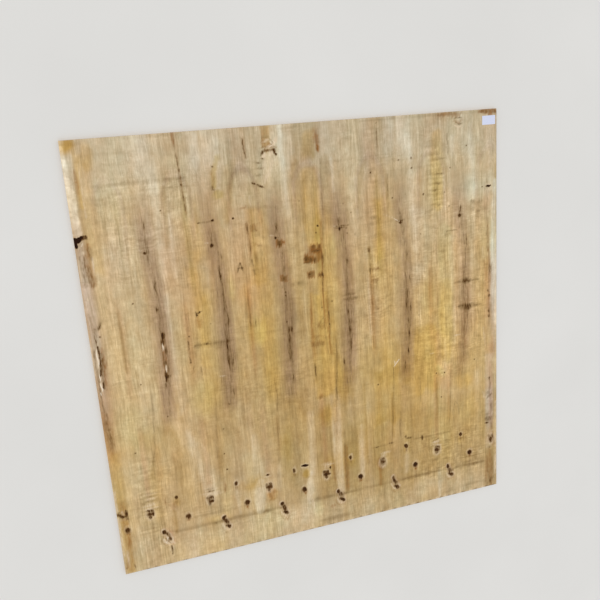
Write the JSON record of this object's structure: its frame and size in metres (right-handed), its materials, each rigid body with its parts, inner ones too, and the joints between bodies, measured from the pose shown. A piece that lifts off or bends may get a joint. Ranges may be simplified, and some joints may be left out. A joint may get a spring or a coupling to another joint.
{
  "type": "plywood sheet",
  "caption": "Square flat plywood sheet with a rotary-peeled knotty face, torn knots and splits, and a broken gap in one edge.",
  "frame": {"origin": "middle of the underside", "axes": "+Z out of the face, +Y along the face grain towards the end that stands up in the picture, +X across the grain"},
  "size_m": [1.22, 1.22, 0.009],
  "materials": {
    "plywood": "unsanded rotary-peeled veneer, matt"
  },
  "bodies": {
    "root": {"sheet": "plywood"}
  },
  "joints": []
}
